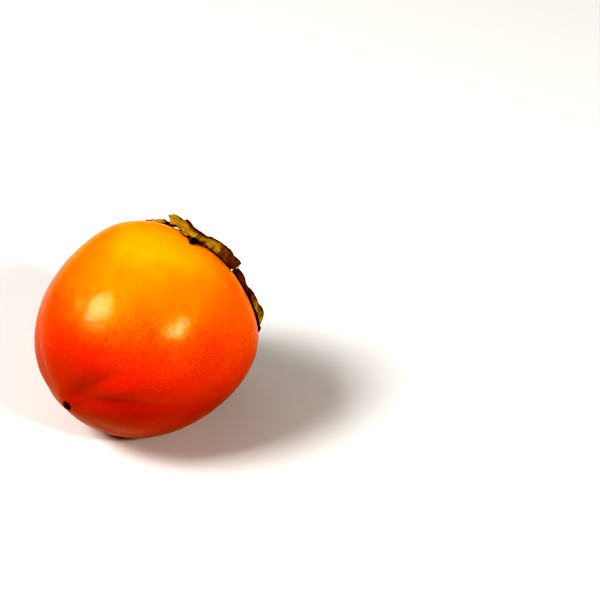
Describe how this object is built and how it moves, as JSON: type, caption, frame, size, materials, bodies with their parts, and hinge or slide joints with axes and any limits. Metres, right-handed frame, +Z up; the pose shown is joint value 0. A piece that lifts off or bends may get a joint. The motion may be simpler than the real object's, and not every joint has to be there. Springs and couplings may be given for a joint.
{
  "type": "persimmon",
  "caption": "Whole ripe kaki persimmon lying on its side, with a dry leafy calyx at the stem end and a dark style remnant at the blossom end.",
  "frame": {"origin": "on the surface the fruit rests on, under the middle of the whole object's box", "axes": "+Z up; the fruit's own axis lies in the XZ plane, with the stem end towards +X and 15 degrees up, and the blossom end towards -X"},
  "size_m": [0.0856, 0.0822, 0.0777],
  "materials": {
    "skin": "satin",
    "sepal": "matte",
    "calyx_wood": "matte",
    "style": "matte"
  },
  "bodies": {
    "root": {"fruit": "skin", "calyx_disc": "calyx_wood", "sepal_1": "sepal", "sepal_2": "sepal", "sepal_3": "sepal", "sepal_4": "sepal", "stalk_stub": "calyx_wood", "style_remnant": "style"}
  },
  "joints": []
}
